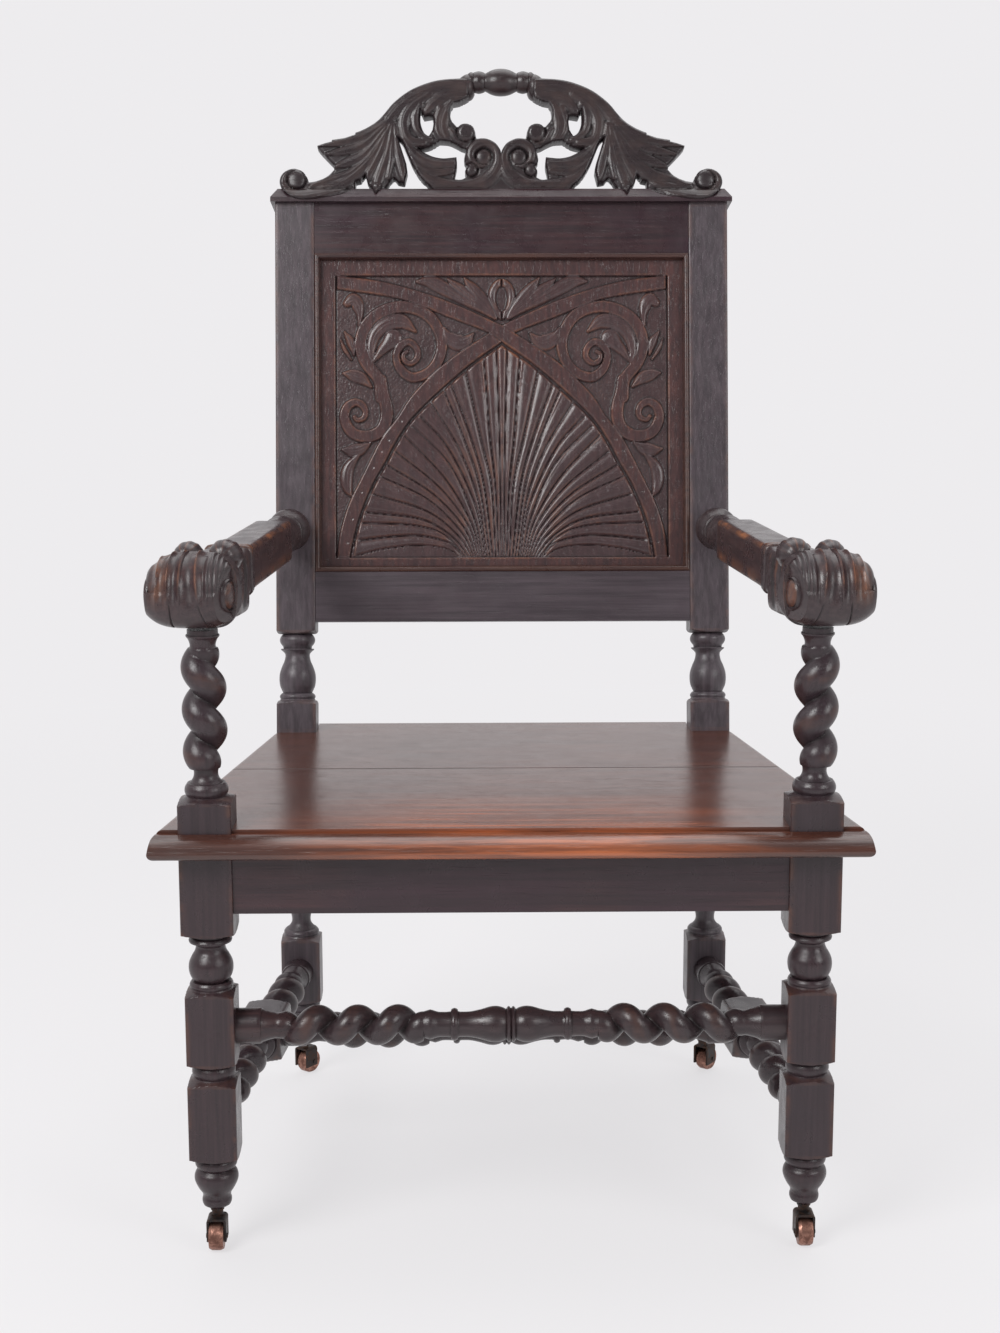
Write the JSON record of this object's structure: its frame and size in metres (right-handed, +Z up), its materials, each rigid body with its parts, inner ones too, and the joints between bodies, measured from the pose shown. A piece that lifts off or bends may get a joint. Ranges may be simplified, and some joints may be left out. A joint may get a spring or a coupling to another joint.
{
  "type": "wainscot chair",
  "caption": "Joined oak armchair: carved panel back with pierced cresting, barley-twist arm supports and stretchers, plank seat and swivel castors.",
  "frame": {"origin": "on the floor below the middle of the chair's bounding box", "axes": "+Z up, -Y the way the seat faces, +X the viewer's right when the chair is seen from the front (the sitter's left)"},
  "size_m": [0.7258, 0.693, 1.2726],
  "materials": {
    "oak": "waxed",
    "oak_panel": "waxed",
    "oak_seat": "polished",
    "iron": "satin",
    "castor_brass": "worn"
  },
  "bodies": {
    "chair": {"front_post_left": "oak", "front_post_right": "oak", "rear_post_left": "oak", "rear_post_right": "oak", "seat_rail_left": "oak", "seat_rail_right": "oak", "seat_rail_front": "oak", "seat_rail_rear": "oak", "side_stretcher_left": "oak", "side_stretcher_right": "oak", "arm_left": "oak", "arm_right": "oak", "seat_board_front": "oak_seat", "seat_board_rear": "oak_seat", "front_stretcher": "oak", "middle_stretcher": "oak", "back_rail_bottom": "oak", "back_rail_top": "oak", "back_panel": "oak_panel", "panel_bead_top": "oak", "panel_bead_bottom": "oak", "panel_bead_left": "oak", "panel_bead_right": "oak", "crest_cap": "oak", "cresting": "oak", "castor_socket_front_left": "iron", "castor_socket_front_right": "iron", "castor_socket_rear_left": "iron", "castor_socket_rear_right": "iron"},
    "castor_front_left": {"castor_fork_front_left": "iron", "castor_axle_front_left": "iron"},
    "wheel_front_left": {"castor_wheel_front_left": "castor_brass"},
    "castor_front_right": {"castor_fork_front_right": "iron", "castor_axle_front_right": "iron"},
    "wheel_front_right": {"castor_wheel_front_right": "castor_brass"},
    "castor_rear_left": {"castor_fork_rear_left": "iron", "castor_axle_rear_left": "iron"},
    "wheel_rear_left": {"castor_wheel_rear_left": "castor_brass"},
    "castor_rear_right": {"castor_fork_rear_right": "iron", "castor_axle_rear_right": "iron"},
    "wheel_rear_right": {"castor_wheel_rear_right": "castor_brass"}
  },
  "joints": [
    {"name": "swivel_front_left", "type": "hinge", "parent": "chair", "child": "castor_front_left", "pos_m": [-0.3085, -0.29397, 0.0407], "axis": [0, 0, 1], "continuous": true},
    {"name": "roll_front_left", "type": "hinge", "parent": "castor_front_left", "child": "wheel_front_left", "pos_m": [-0.3085, -0.30297, 0.015], "axis": [1, 0, 0], "continuous": true},
    {"name": "swivel_front_right", "type": "hinge", "parent": "chair", "child": "castor_front_right", "pos_m": [0.3085, -0.29397, 0.0407], "axis": [0, 0, 1], "continuous": true},
    {"name": "roll_front_right", "type": "hinge", "parent": "castor_front_right", "child": "wheel_front_right", "pos_m": [0.3085, -0.30297, 0.015], "axis": [1, 0, 0], "continuous": true},
    {"name": "swivel_rear_left", "type": "hinge", "parent": "chair", "child": "castor_rear_left", "pos_m": [-0.2585, 0.20103, 0.0407], "axis": [0, 0, 1], "continuous": true},
    {"name": "roll_rear_left", "type": "hinge", "parent": "castor_rear_left", "child": "wheel_rear_left", "pos_m": [-0.25308, 0.20821, 0.015], "axis": [-0.7986, 0.6018, 0], "continuous": true},
    {"name": "swivel_rear_right", "type": "hinge", "parent": "chair", "child": "castor_rear_right", "pos_m": [0.2585, 0.20103, 0.0407], "axis": [0, 0, 1], "continuous": true},
    {"name": "roll_rear_right", "type": "hinge", "parent": "castor_rear_right", "child": "wheel_rear_right", "pos_m": [0.26392, 0.20821, 0.015], "axis": [-0.7986, 0.6018, 0], "continuous": true}
  ]
}
